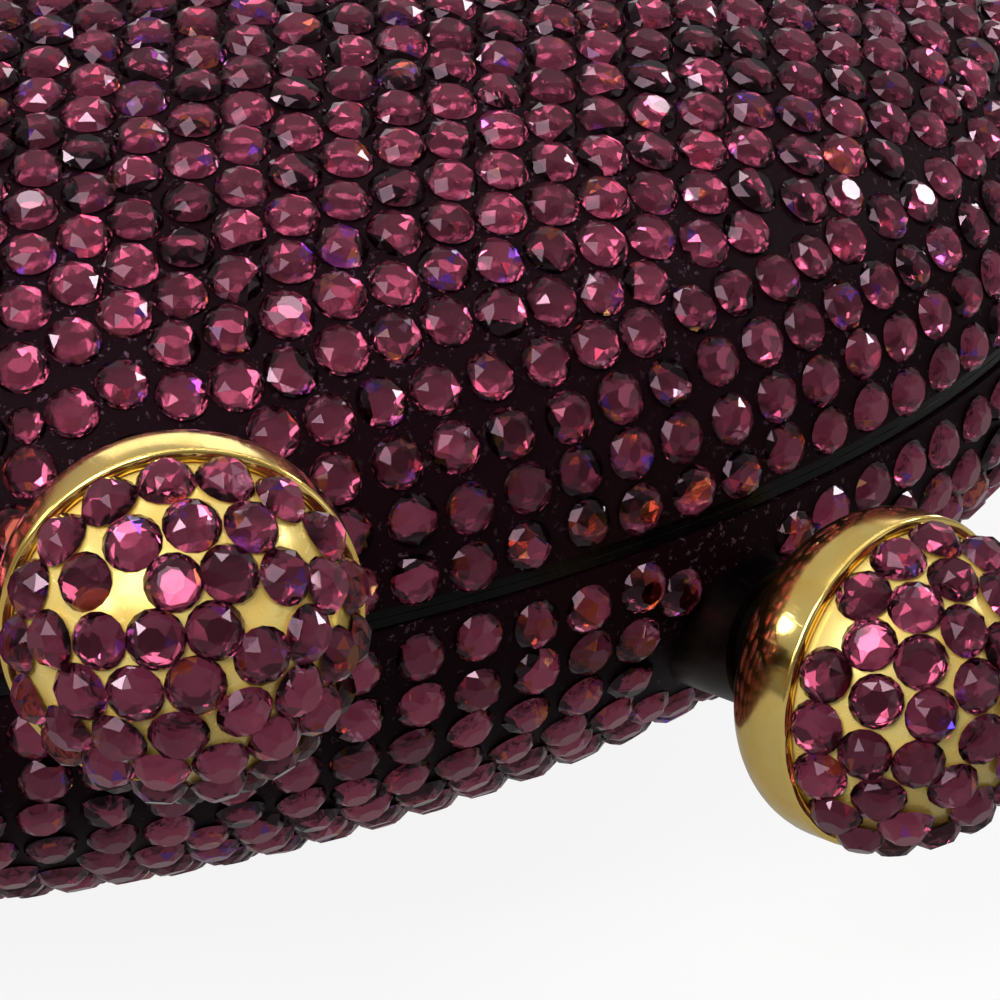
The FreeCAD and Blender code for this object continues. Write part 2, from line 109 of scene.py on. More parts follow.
LOOSE_TRIES = 12000
FILLER_TRIES = 60000
KNOB_LOOSE_TRIES = 5000
KNOB_FILLER_TRIES = 3000
LEAN = 0.05  # how far a stone leans, radians

# Knobs, along their axis from the crystals' edge
CUP_RADIUS = (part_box("right_knob_cup")[1].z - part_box("right_knob_cup")[0].z) / 2
LIP_STAND = 11.4 * MM
CUP_DEPTH = 6.5 * MM
CUP_ROUND = 4.5 * MM
CUP_WALL = 0.8 * MM
CUP_SEAT = 2.0 * MM
LIP_ROLL = 0.3 * MM
LIP_BEAD = 0.12 * MM  # rounding of the lip's inner edge
GROOVE_INSET = 0.5 * MM
HALF_GROOVE = 0.06 * MM
GROOVE_DEPTH = 0.12 * MM
NECK_RADIUS = 2.7 * MM
NECK_END = 1.9 * MM
NECK_FILLET = 0.5 * MM
FILLET_MIDDLE = 0.15 * MM
LATHE_STEPS = 96
STEM_RADIUS = 2.0 * MM
DOME_RADIUS = 9.6 * MM
DOME_RISE = 8.6 * MM
DOME_STONES = ((0.2, 3), (0.54, 10), (0.89, 15), (1.25, 20))  # angle from the pole, stones
DOME_STRAY = 0.05  # radians
DOME_APART = 1.94  # stone radii between the centres of two stones
DOME_NUDGES = 60
DOME_STONE_SIZES = (0.96, 1.01)
DOME_STONE_HEIGHT = 1.35  # times that of the stones in the bed
COLLAR_ROOM = 6.35 * MM  # stones of the body keep clear of the bush collar
RING_ROOM = 0.25 * MM  # how far past that the ring of stones around it may lie
RING_REACH = 8 * MM  # past the seam rows
KNOB_ROOM = 10 * MM  # from the axis; seam stones this near a knob are set singly
FAR_SIDE = -20 * MM  # along the axis; deeper points are across the case

# Linings, in from the lacquered surface
LINING_INSET = 1.75 * MM
LINING_THICKNESS = 0.6 * MM
LINING_TOP = 4.35 * MM / HALF_DEPTH
LINING_FOOT = 0.93
LINING_STEPS = 16
LINING_SEGMENTS = 200
CREASE = ((0.006, -0.35 * MM), (0.014, -0.3 * MM), (0.024, 0.1 * MM))  # share of the width inwards, rise
PAD_CLEAR = 0.2 * MM  # padded middle, up from the lining's lowest level
PAD_EDGE = 1 / 3  # share of the middle over which the padding swells
PLEAT = 0.1 * MM
PLEAT_WAVES, PLEAT_GROUPS, FINE_PLEATS = 31, 7, 73  # around the lining

# Hinge
HINGE = next(joint for joint in frame["joints"] if joint["name"] == "lid_hinge")["pos_m"]
HINGE_ROOM = 4.1 * MM
HINGE_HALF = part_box("hinge_pin")[1].x + STONE_RADIUS + 0.3 * MM
NOTCH_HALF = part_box("hinge_pin")[1].x + 0.5 * MM
NOTCH_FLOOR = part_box("hinge_base_leaf")[0].z - 0.2 * MM

AT_SEAM = Matrix.Translation((0, 0, SEAM))
TURNED_OVER = AT_SEAM @ Matrix.Rotation(math.pi, 4, "Y") @ AT_SEAM.inverted()


def new_object(name, mesh, *materials):
    """An object in the scene, with its materials."""
    for material in materials:
        mesh.materials.append(material)
    item = bpy.data.objects.new(name, mesh)
    bpy.context.scene.collection.objects.link(item)
    return item


def to_mesh(name, bm):
    """A mesh from a form that is done."""
    mesh = bpy.data.meshes.new(name)
    bm.to_mesh(mesh)
    bm.free()
    return mesh


def shade_smooth(bm, sharp_angle=math.radians(32)):
    """Smooth faces, with a crease at each sharp edge."""
    for face in bm.faces:
        face.smooth = True
    for edge in bm.edges:
        edge.smooth = len(edge.link_faces) == 2 and edge.calc_face_angle() < sharp_angle


def settle(piece, body, slot, *nodes):
    """A finished piece moves with its body and stands for its CAD nodes, which are hidden; the slot is not
    used.
    """
    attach(piece, body)
    if nodes:
        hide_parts(*nodes)


# Finishes

def add(tree, kind, inputs=(), **settings):
    """A new shader node; inputs are (socket, value) or (socket, other node's output)."""
    item = tree.nodes.new(kind)
    for key, value in settings.items():
        setattr(item, key, value)
    for socket, value in inputs:
        if isinstance(value, bpy.types.NodeSocket):
            tree.links.new(value, item.inputs[socket])
        else:
            item.inputs[socket].default_value = value
    return item


def ramp(tree, factor, low, high, low_value, high_value):
    """A smooth step of a mask between two levels."""
    return add(tree, "ShaderNodeMapRange", [("Value", factor), ("From Min", low), ("From Max", high),
                                            ("To Min", low_value), ("To Max", high_value)]).outputs["Result"]


def effect(name, inputs, outputs):
    """An empty node group with float inputs (name, value) and float outputs."""
    group = bpy.data.node_groups.new(name, "ShaderNodeTree")
    for label, value in inputs:
        group.interface.new_socket(label, in_out="INPUT", socket_type="NodeSocketFloat").default_value = value
    for label in outputs:
        group.interface.new_socket(label, in_out="OUTPUT", socket_type="NodeSocketFloat")
    return group, group.nodes.new("NodeGroupInput").outputs, group.nodes.new("NodeGroupOutput").inputs


def handling_marks():
    """Soft smudges and fine hairline scratches."""
    group, given, result = effect("handling_marks", [("Smudge Scale", 150.0), ("Scratch Scale", 900.0)],
                                  ["Smudge", "Scratch"])
    place = add(group, "ShaderNodeTexCoord").outputs["Object"]
    smudge = add(group, "ShaderNodeTexNoise", [("Vector", place), ("Scale", given["Smudge Scale"]),
                                               ("Detail", 4.0), ("Roughness", 0.6)])
    group.links.new(ramp(group, smudge.outputs["Fac"], 0.35, 0.7, 0.0, 1.0), result["Smudge"])
    turned = add(group, "ShaderNodeMapping", [("Vector", place), ("Rotation", (0.4, 0.7, 0.3)),
                                              ("Scale", (1.0, 0.05, 1.0))]).outputs["Vector"]
    scratch = add(group, "ShaderNodeTexNoise", [("Vector", turned), ("Scale", given["Scratch Scale"]),
                                                ("Detail", 2.0), ("Roughness", 0.5)])
    group.links.new(ramp(group, scratch.outputs["Fac"], 0.58, 0.72, 0.0, 1.0), result["Scratch"])
    return group


def flecks():
    """Crumbs of clear glue and dust between the stones, in patches."""
    group, given, result = effect("flecks", [("Scale", 1700.0), ("Share", 0.6)], ["Mask"])
    place = add(group, "ShaderNodeTexCoord").outputs["Object"]
    crumb = add(group, "ShaderNodeTexNoise", [("Vector", place), ("Scale", given["Scale"]), ("Detail", 3.0),
                                              ("Roughness", 0.7)])
    edge = add(group, "ShaderNodeMath", [(0, crumb.outputs["Fac"]), (1, given["Share"])],
               operation="SUBTRACT")
    patch = add(group, "ShaderNodeTexNoise", [("Vector", place), ("Scale", 70.0), ("Detail", 2.0)])
    near = ramp(group, patch.outputs["Fac"], 0.4, 0.6, 0.1, 1.0)
    mask = add(group, "ShaderNodeMath", [(0, ramp(group, edge.outputs[0], 0.0, 0.06, 0.0, 1.0)), (1, near)],
               operation="MULTIPLY")
    group.links.new(mask.outputs[0], result["Mask"])
    return group


def leather_grain():
    """Pebbled grain with creases between the pebbles."""
    group, given, result = effect("leather_grain", [("Scale", 1100.0)], ["Height", "Tone"])
    place = add(group, "ShaderNodeTexCoord").outputs["Object"]
    cells = add(group, "ShaderNodeTexVoronoi", [("Vector", place), ("Scale", given["Scale"])],
                feature="DISTANCE_TO_EDGE")
    pebble = ramp(group, cells.outputs["Distance"], 0.0, 0.22, 0.0, 1.0)
    tone = add(group, "ShaderNodeTexNoise", [("Vector", place), ("Scale", 90.0), ("Detail", 5.0)])
    group.links.new(pebble, result["Height"])
    group.links.new(ramp(group, tone.outputs["Fac"], 0.3, 0.7, 0.0, 1.0), result["Tone"])
    return group


MARKS = handling_marks()
FLECKS = flecks()
GRAIN = leather_grain()


def finish(name, **values):
    """A new material with plain values on its main shader, with its nodes and shader to add the rest to."""
    material = bpy.data.materials.new(name)
    material.use_nodes = True
    tree = material.node_tree
    shader = tree.nodes["Principled BSDF"]
    for socket, value in values.items():
        shader.inputs[socket.replace("_", " ")].default_value = value
    return material, tree, shader


def use(tree, group, **values):
    """Puts one of the shared effects into a material: its outputs."""
    item = tree.nodes.new("ShaderNodeGroup")
    item.node_tree = group
    for socket, value in values.items():
        item.inputs[socket.replace("_", " ")].default_value = value
    return item.outputs


def coloured(tree, shader, mask, first, second):
    """Main colour between two, by a mask."""
    item = add(tree, "ShaderNodeMix", [("Factor", mask)], data_type="RGBA")
    inputs = [socket for socket in item.inputs if socket.type == "RGBA"]
    for socket, colour in zip(inputs, (first, second)):
        socket.default_value = (*colour, 1)
    output = next(socket for socket in item.outputs if socket.type == "RGBA")
    tree.links.new(output, shader.inputs["Base Color"])


def varied(tree, shader, socket, mask, low, high):
    """One of the shader's values between two, by a mask."""
    tree.links.new(ramp(tree, mask, 0.0, 1.0, low, high), shader.inputs[socket])


def bumped(tree, shader, height, strength, depth):
    bump = add(tree, "ShaderNodeBump", [("Height", height), ("Strength", strength), ("Distance", depth)])
    tree.links.new(bump.outputs["Normal"], shader.inputs["Normal"])


def crystal_finishes():
    """Dyed glass with its own tint on each facet, and painted fire colours on a few facets as glints, over a
    silvered back.
    """
    glass, tree, shader = finish("crystal_glass", Transmission_Weight=1.0, IOR=1.5,
                                 Specular_Tint=(0.75, 0.5, 0.62, 1))
    # Per-facet colour: the stone's own tint, or a painted fire colour standing in for glints of split light
    tint_and_painted_fire = add(tree, "ShaderNodeAttribute", attribute_name="tint_and_painted_fire")
    tree.links.new(tint_and_painted_fire.outputs["Color"], shader.inputs["Base Color"])
    varied(tree, shader, "Roughness", use(tree, MARKS, Smudge_Scale=400.0)["Smudge"], 0.0, 0.05)
    foil, tree, shader = finish("crystal_foil", Metallic=1.0)
    smudge = use(tree, MARKS, Smudge_Scale=500.0)["Smudge"]
    coloured(tree, shader, smudge, (0.85, 0.8, 0.84), (0.7, 0.62, 0.68))
    varied(tree, shader, "Roughness", smudge, 0.07, 0.14)
    return glass, foil


def plum_lacquer_finish():
    """Dark lacquer under the stones, with crumbs of glue."""
    material, tree, shader = finish("plum_lacquer", Specular_IOR_Level=0.05)
    specks = use(tree, FLECKS)["Mask"]
    coloured(tree, shader, specks, (0.008, 0.0013, 0.0034), (0.11, 0.055, 0.085))
    varied(tree, shader, "Roughness", specks, 0.5, 0.2)
    bumped(tree, shader, specks, 0.6, 0.15 * MM)
    return material


def metal_finish(name, bright, dull, smooth, rough, smudge_scale, scratch_scale):
    """Polished metal: duller and rougher where it is handled, with hairlines."""
    material, tree, shader = finish(name, Metallic=1.0)
    marks = use(tree, MARKS, Smudge_Scale=smudge_scale, Scratch_Scale=scratch_scale)
    coloured(tree, shader, marks["Smudge"], bright, dull)
    worn = add(tree, "ShaderNodeMath", [(0, marks["Scratch"]), (1, marks["Smudge"])], operation="MAXIMUM")
    varied(tree, shader, "Roughness", worn.outputs[0], smooth, rough)
    bumped(tree, shader, marks["Scratch"], 0.25, 0.02 * MM)
    return material


def satin_gold_finish():
    """Brushed plating of the domes, which scatters the light between the stones."""
    material, tree, shader = finish("satin_gold", Metallic=0.25)
    marks = use(tree, MARKS, Smudge_Scale=350.0, Scratch_Scale=1800.0)
    coloured(tree, shader, marks["Smudge"], (1.0, 0.79, 0.25), (1.0, 0.67, 0.15))
    varied(tree, shader, "Roughness", marks["Scratch"], 0.24, 0.4)
    bumped(tree, shader, marks["Scratch"], 0.3, 0.03 * MM)
    return material


def black_lacquer_finish():
    """Black lacquer of the frames, faintly smudged."""
    material, tree, shader = finish("black_lacquer", Specular_IOR_Level=0.1)
    marks = use(tree, MARKS, Smudge_Scale=220.0, Scratch_Scale=1200.0)
    coloured(tree, shader, marks["Smudge"], (0.003, 0.0025, 0.003), (0.008, 0.006, 0.007))
    varied(tree, shader, "Roughness", marks["Scratch"], 0.16, 0.4)
    return material


def leather_finish():
    """Gilt leather, worn to a sheen on top of its grain."""
    material, tree, shader = finish("gold_leather", Specular_IOR_Level=0.4)
    grain = use(tree, GRAIN)
    coloured(tree, shader, grain["Tone"], (0.42, 0.27, 0.1), (0.56, 0.39, 0.17))
    varied(tree, shader, "Roughness", grain["Height"], 0.75, 0.4)
    varied(tree, shader, "Metallic", grain["Height"], 0.1, 0.55)
    bumped(tree, shader, grain["Height"], 0.5, 0.12 * MM)
    return material


crystal_glass, crystal_foil = crystal_finishes()
plum_lacquer = plum_lacquer_finish()
black_lacquer = black_lacquer_finish()
gold = metal_finish("polished_gold", (1.0, 0.75, 0.24), (0.95, 0.6, 0.14), 0.09, 0.22, 260.0, 1500.0)
satin_gold = satin_gold_finish()
# Metal darkened as painted shade: it stands for the shadow around each knob's neck, bush, stem and washer
painted_shade_metal = metal_finish("metal_painted_dark_as_shade", (0.02, 0.015, 0.014), (0.035, 0.025, 0.02), 0.3, 0.45, 300.0,
                          1500.0)
steel = metal_finish("bright_steel", (0.58, 0.57, 0.55), (0.5, 0.48, 0.46), 0.2, 0.38, 300.0, 2200.0)
lining_leather = leather_finish()


# Surface of one half, as the lower one lies

def side_profile():
    """Width shares and depths from the seam down the side and in over the flat."""
    side_steps = 48
    flat_steps = 24
    line = []
    for step in range(side_steps + 1):
        sine = math.sin(math.pi / 2 * step / side_steps)
        line.append((math.sqrt(1 - (FLAT_LEVEL * sine) ** SIDE_POWER), HALF_DEPTH * sine))
    edge = line[-1][0]
    for step in range(1, flat_steps + 1):
        line.append((edge * (1 - step / flat_steps), HALF_DEPTH))
    return line


PROFILE = side_profile()
ANGLES = [math.tau * step / 720 for step in range(720)]


def meridian(angle):
    """Distances along the surface from the seam, for each step of the profile."""
    radius = math.hypot(HALF_LENGTH * math.cos(angle), HALF_WIDTH * math.sin(angle))
    distances = [0.0]
    for (width, depth), (next_width, next_depth) in zip(PROFILE, PROFILE[1:]):
        distances.append(distances[-1] + math.hypot((width - next_width) * radius, next_depth - depth))
    return distances


MERIDIANS = [meridian(angle) for angle in ANGLES]


def surface_normal(point):
    """Outwards, on the lower half."""
    depth = SEAM - point.z
    if depth > HALF_DEPTH * 0.9999:
        return Vector((0, 0, -1))
    slope = SIDE_POWER * (FLAT_LEVEL / HALF_DEPTH) ** SIDE_POWER * depth ** (SIDE_POWER - 1)
    return Vector((2 * point.x / HALF_LENGTH ** 2, 2 * point.y / HALF_WIDTH ** 2, -slope)).normalized()


def surface_point(number, distance):
    """Point on one meridian, at a distance from the seam, or None past the middle."""
    distances = MERIDIANS[number]
    if distance > distances[-1]:
        return None
    step = next(i for i, reached in enumerate(distances) if reached >= distance)
    if step == 0:
        width, depth = PROFILE[0]
    else:
        share = (distance - distances[step - 1]) / (distances[step] - distances[step - 1])
        width = PROFILE[step - 1][0] + share * (PROFILE[step][0] - PROFILE[step - 1][0])
        depth = PROFILE[step - 1][1] + share * (PROFILE[step][1] - PROFILE[step - 1][1])
    angle = ANGLES[number]
    return Vector((HALF_LENGTH * width * math.cos(angle), HALF_WIDTH * width * math.sin(angle), SEAM - depth))


def point_under(x, y):
    """Point of the surface at a place in plan, or None off the oval."""
    left = 1 - (x / HALF_LENGTH) ** 2 - (y / HALF_WIDTH) ** 2
    if left <= 0:
        return None
    return Vector((x, y, SEAM - HALF_DEPTH * min(1.0, left ** (1 / SIDE_POWER) / FLAT_LEVEL)))


def from_middle(number, distance):
    """Point on one meridian at a distance from the middle, measured over the surface."""
    return surface_point(number, max(0.0, MERIDIANS[number][-1] - distance))


def spaced(run, pitch, count=None):
    """Points along a closed run, about a pitch apart or of a given count."""
    reached = [0.0]
    for a, b in zip(run, run[1:]):
        reached.append(reached[-1] + (b - a).length)
    count = count or int(reached[-1] / pitch)
    places = []
    index = 0
    for number in range(count):
        target = (number + 0.5) * reached[-1] / count
        while reached[index + 1] < target:
            index += 1
        share = (target - reached[index]) / (reached[index + 1] - reached[index])
        places.append(run[index].lerp(run[index + 1], share))
    return places


# Stones

class SetStones:
    """Stones already set, in a grid of cells, so that no two lie on each other."""

    def __init__(self):
        self.places = []
        self.cells = {}

    def cell(self, point):
        return tuple(int(math.floor(value / CELL)) for value in point)

    def near(self, point):
        """Stones in the cells around a point."""
        x, y, z = self.cell(point)
        for cell in ((x + i, y + j, z + k) for i in (-1, 0, 1) for j in (-1, 0, 1) for k in (-1, 0, 1)):
            yield from self.cells.get(cell, ())

    def fits(self, point, radius, share):
        """True where a stone stands clear of the others, the collar and the hinge."""
        clear = all((other - point).length >= (radius + size) * share for other, size in self.near(point))
        return clear and not in_the_way(point)

    def put(self, point, radius, stray=0.0, share=LEAST_SHARE):
        """Sets a stone, a little off the point, if nothing is in its way there."""
        normal = surface_normal(point)
        across = normal.orthogonal().normalized()
        for attempt in range(PUT_TRIES if stray else 1):
            place = point + across * random.gauss(0, stray) + normal.cross(across) * random.gauss(0, stray)
            if self.fits(place, radius, share):
                self.places.append((place, radius))
                self.cells.setdefault(self.cell(place), []).append((place, radius))
                return

    def even_out(self, shallowest, deepest):
        """Shifts the stones between two depths until the gaps around them are even."""
        for turn in range(EVEN_TURNS):
            shifted = []
            for point, radius in self.places:
                if shallowest < SEAM - point.z < deepest:
                    push = Vector()
                    for other, size in self.near(point):
                        gap = point - other
                        push += gap.normalized() * max(0.0, EVEN_REACH * (radius + size) - gap.length)
                    moved = point_under(point.x + EVEN_STEP * push.x, point.y + EVEN_STEP * push.y)
                    if moved and not in_the_way(moved):
                        point = moved
                shifted.append((point, radius))
            self.places = shifted
            self.cells = {}
            for point, radius in shifted:
                self.cells.setdefault(self.cell(point), []).append((point, radius))

    def stones(self):
        """Where each stone's back lies on the bed, which way it faces, its radius."""
        for point, radius in self.places:
            normal = surface_normal(point)
            yield point + normal * (BED + GLUE), normal, radius


def knob_place(side):
    """Frame of a knob: z outwards along its axis, from the crystals' edge."""
    joint = next(joint for joint in frame["joints"] if joint["name"] == side + "_knob_turn")
    outwards = -Vector(joint["axis"]).normalized()
    upright = Vector((0, 0, 1))
    across = upright.cross(outwards).normalized()
    turn = Matrix((across, upright, outwards)).transposed().to_4x4()
    return Matrix.Translation(Vector(joint["pos_m"])) @ turn


LOWER_KNOB = knob_place("right").inverted()
AT_KNOB = [number for number in range(len(ANGLES))
           if (LOWER_KNOB @ surface_point(number, 0.0)).xy.length < KNOB_ROOM]


def in_the_way(point):
    """True where the bush collar or the hinge takes the place of stones, on the lower half."""
    at_knob = LOWER_KNOB @ point
    if at_knob.z > FAR_SIDE and at_knob.xy.length < COLLAR_ROOM:
        return True
    at_hinge = math.hypot(point.y - HINGE[1], point.z - HINGE[2])
    return abs(point.x) < HINGE_HALF and at_hinge < HINGE_ROOM


def stone_size():
    return STONE_RADIUS * random.uniform(*STONE_SIZES)


def set_seam_rows(laid, first_row):
    """Rows along the seam, with their stones in columns."""
    count = None
    for number in range(SEAM_ROWS):
        distance = first_row + number * SEAM_ROW_STEP
        run = [surface_point(step % len(ANGLES), distance) for step in range(len(ANGLES) + 1)]
        places = spaced(run, SEAM_PITCH, count)
        count = len(places)
        for point in places:
            laid.put(point, SEAM_STONE * stone_size(), SEAM_STRAY)


def set_close_rows(laid):
    """Straight close rows over the flat, each a half pitch off the next."""
    to_end, to_front = MERIDIANS[0][-1], MERIDIANS[len(ANGLES) // 4][-1]
    rows = int(to_front / CLOSE_ROW_STEP)
    columns = int(to_end / CLOSE_PITCH)
    for row in range(-rows, rows + 1):
        y = math.copysign(from_middle(len(ANGLES) // 4, abs(row) * CLOSE_ROW_STEP).y, row)
        for column in range(-columns, columns + 1):
            along = (column + row % 2 / 2) * CLOSE_PITCH
            x = math.copysign(from_middle(0, abs(along)).x, along)
            point = point_under(x, y)
            if point:
                laid.put(point, stone_size(), CLOSE_STRAY)


def set_loose_stones(laid, tries, sizes, nearest, farthest, angles=range(len(ANGLES)), share=LEAST_SHARE):
    """Stones wherever one still fits, between two distances from the seam."""
    for attempt in range(tries):
        point = surface_point(random.choice(angles), random.uniform(nearest, farthest))
        if point:
            laid.put(point, random.uniform(*sizes) * STONE_RADIUS, share=share)


def set_collar_ring(laid, nearest, farthest):
    """Stones close around the bush collar."""
    for attempt in range(RING_TRIES):
        point = surface_point(random.choice(AT_KNOB), random.uniform(nearest, farthest))
        if point and (LOWER_KNOB @ point).xy.length < COLLAR_ROOM + RING_ROOM:
            laid.put(point, SEAM_STONE * STONE_RADIUS)


def stone_mesh():
    """Flat backed round crystal of unit radius: a table, upper facets and a crown down to its edge."""
    bm = bmesh.new()
    height = STONE_HEIGHT / STONE_RADIUS
    half_step = Matrix.Rotation(math.tau / STONE_SIDES, 4, "Z")
    crown_radius, crown_share = STONE_CROWN
    bmesh.ops.create_circle(bm, radius=1.0, segments=STONE_SIDES)
    bmesh.ops.create_circle(bm, radius=crown_radius, segments=STONE_SIDES // 2,
                            matrix=half_step @ Matrix.Translation((0, 0, height * crown_share)))
    bmesh.ops.create_circle(bm, radius=STONE_TABLE, segments=STONE_SIDES // 2,
                            matrix=Matrix.Translation((0, 0, height)))
    bmesh.ops.convex_hull(bm, input=bm.verts[:])
    bmesh.ops.dissolve_limit(bm, angle_limit=0.01, verts=bm.verts[:], edges=bm.edges[:])
    bmesh.ops.recalc_face_normals(bm, faces=bm.faces[:])
    for face in bm.faces:
        face.material_index = 1 if face.normal.z < -0.9 else 0  # silvered back, glass
    return to_mesh("stone", bm)


STONE = stone_mesh()
CROWN = [0.2 < face.normal.z < 0.95 for face in STONE.polygons]  # not the table, the edge or the back


def facing(direction):
    """Turns a stone that faces up to a direction."""
    return direction.to_track_quat("Z", "Y").to_matrix().to_4x4()


def stone_matrix(point, normal, radius, height):
    """Place of one stone: a little off level and turned by chance."""
    lean = facing(Vector((random.gauss(0, LEAN), random.gauss(0, LEAN), 1)))
    spin = Matrix.Rotation(random.uniform(0, math.tau), 4, "Z")
    size = Matrix.Diagonal((radius, radius, radius * height, 1))
    return Matrix.Translation(point) @ facing(normal) @ lean @ spin @ size


def stone_tints_and_painted_fire():
    """One stone's glass, facet by facet: its own shade, and a few facets painted with fire colours as painted
    glints of split light.
    """
    shade = STONE_TINT * random.uniform(*STONE_SHADES)
    tints_and_painted_fire = []
    for crown in CROWN:
        # a few crown facets get a painted fire colour in place of the stone's tint
        colour = random.choice(PAINTED_FIRE_TINTS) if crown and random.random() < PAINTED_FIRE_SHARE else shade
        tints_and_painted_fire += [*colour, 1.0]
    return tints_and_painted_fire


def stones_object(name, stones, place, height=1.0):
    """All the stones of one piece, each facet with its tint or its painted fire colour."""
    bm = bmesh.new()
    tints_and_painted_fire = []
    for point, normal, radius in stones:
        stone = STONE.copy()
        stone.transform(place @ stone_matrix(point, normal, radius, height))
        bm.from_mesh(stone)
        bpy.data.meshes.remove(stone)
        tints_and_painted_fire += stone_tints_and_painted_fire()
    mesh = to_mesh(name, bm)
    mesh.attributes.new("tint_and_painted_fire", "FLOAT_COLOR", "FACE").data.foreach_set("color", tints_and_painted_fire)
    return new_object(name, mesh, crystal_glass, crystal_foil)


def oval_bowl(line, segments):
    """Open bowl from oval rings (half length, half width, level), closed at its foot."""
    bm = bmesh.new()
    bmesh.ops.create_circle(bm, segments=segments, radius=1.0)
    ring, edges = bm.verts[:], bm.edges[:]
    last = (1.0, 1.0, 0.0)
    for number, (length, width, level) in enumerate(line):
        if number:
            grown = bmesh.ops.extrude_edge_only(bm, edges=edges)["geom"]
            ring = [item for item in grown if isinstance(item, bmesh.types.BMVert)]
            far = set(ring)
            grown_edges = [item for item in grown if isinstance(item, bmesh.types.BMEdge)]
            edges = [edge for edge in grown_edges if far.issuperset(edge.verts)]
        bmesh.ops.scale(bm, vec=(length / last[0], width / last[1], 1), verts=ring)
        bmesh.ops.translate(bm, vec=(0, 0, level - last[2]), verts=ring)
        last = (length, width, level)
    bmesh.ops.edgeloop_fill(bm, edges=edges)
    return bm


def stone_bed(half, body, place):
    """Dark lacquered bed under the stones, open for the hinge."""
    line = []
    for step in range(BED_STEPS + 1):
        sine = max(math.sin(math.pi / 2 * step / BED_STEPS), BED_EDGE / HALF_DEPTH)
        share = math.sqrt(1 - (FLAT_LEVEL * sine) ** SIDE_POWER)
        line.append(((HALF_LENGTH + BED) * share, (HALF_WIDTH + BED) * share, -(HALF_DEPTH + BED) * sine))
    bm = oval_bowl(line, BED_SEGMENTS)
    bmesh.ops.translate(bm, vec=(0, 0, SEAM), verts=bm.verts[:])
    for spot, normal in (((NOTCH_HALF, 0, 0), (1, 0, 0)), ((-NOTCH_HALF, 0, 0), (1, 0, 0)),
                         ((0, 0, NOTCH_FLOOR), (0, 0, 1))):
        everything = bm.verts[:] + bm.edges[:] + bm.faces[:]
        bmesh.ops.bisect_plane(bm, geom=everything, plane_co=spot, plane_no=normal)
    notch = []
    for face in bm.faces:
        middle = face.calc_center_median()
        if abs(middle.x) < NOTCH_HALF and middle.y > 0 and middle.z > NOTCH_FLOOR:
            notch.append(face)
    bmesh.ops.delete(bm, geom=notch, context="FACES")
    bmesh.ops.recalc_face_normals(bm, faces=bm.faces[:])
    if min(bm.faces, key=lambda face: face.calc_center_median().z).normal.z > 0:
        bmesh.ops.reverse_faces(bm, faces=bm.faces[:])
    shade_smooth(bm)
    bm.transform(place)
    piece = new_object(half + "_stone_bed", to_mesh(half + "_stone_bed", bm), plum_lacquer)
    thick = piece.modifiers.new("bed", "SOLIDIFY")
    thick.thickness = BED - GLUE
    thick.offset = -1
    settle(piece, body, "plum_lacquer")


def body_stones(half, body, place):
    """Stones of one half: the rows first, then loose ones between them, then small ones in the gaps."""
    stone_bed(half, body, place)
    laid = SetStones()
    first_row = FIRST_ROW[half]
    last_row = first_row + (SEAM_ROWS - 1) * SEAM_ROW_STEP
    set_collar_ring(laid, first_row, last_row + RING_REACH)
    set_seam_rows(laid, first_row)
    set_close_rows(laid)
    set_loose_stones(laid, KNOB_LOOSE_TRIES, LOOSE_SIZES, first_row, last_row, AT_KNOB)
    for share in LOOSE_TURNS:
        set_loose_stones(laid, LOOSE_TRIES, LOOSE_SIZES, last_row, last_row + LOOSE_REACH, share=share)
        laid.even_out(*LOOSE_DEPTHS)
    set_loose_stones(laid, KNOB_FILLER_TRIES, FILLER_SIZES, first_row, last_row, AT_KNOB)
    set_loose_stones(laid, FILLER_TRIES, FILLER_SIZES, first_row, last_row + FILLER_REACH)
    settle(stones_object(half + "_stones", laid.stones(), place), body, "crystal", half + "_pave")


body_stones("lower", "base", Matrix.Identity(4))
body_stones("upper", "lid", TURNED_OVER)


# Knobs

def dome_places():
    """Directions of the stones on a dome: rings as listed, each stone nudged off its neighbours."""
    places = []
    for polar, count in DOME_STONES:
        start = random.uniform(0, math.tau)
        for number in range(count):
            tilt = polar + random.gauss(0, DOME_STRAY)
            angle = start + math.tau * number / count + random.gauss(0, DOME_STRAY) / math.sin(polar)
            out = math.sin(tilt)
            places.append(Vector((out * math.cos(angle), out * math.sin(angle), math.cos(tilt))))
    apart = DOME_APART * STONE_RADIUS / DOME_RADIUS
    lowest = math.cos(DOME_STONES[-1][0] + DOME_STRAY)
    for nudge in range(DOME_NUDGES):
        for first in range(len(places)):
            for second in range(first):
                gap = places[first] - places[second]
                if gap.length < apart:
                    push = gap.normalized() * (apart - gap.length) / 2
                    places[first] = (places[first] + push).normalized()
                    places[second] = (places[second] - push).normalized()
        for place in places:
            place.z = max(place.z, lowest)
            place.normalize()
    return places


def dome_stones(side):
    """Stones on the dome of one knob."""
    centre = Vector((0, 0, LIP_STAND + DOME_RISE - DOME_RADIUS))
    stones = [(centre + place * (DOME_RADIUS + GLUE), place, STONE_RADIUS * random.uniform(*DOME_STONE_SIZES))
              for place in dome_places()]
    piece = stones_object(side + "_knob_stones", stones, knob_place(side), DOME_STONE_HEIGHT)
    settle(piece, side + "_knob", "crystal", side + "_knob_pave")


def arc(centre_radius, centre_level, radius, start, end, steps):
    """Points (radius, level) of an arc in a profile; angles in degrees from straight outwards."""
    angles = [math.radians(start + (end - start) * step / steps) for step in range(steps + 1)]
    return [(centre_radius + radius * math.cos(a), centre_level + radius * math.sin(a)) for a in angles]


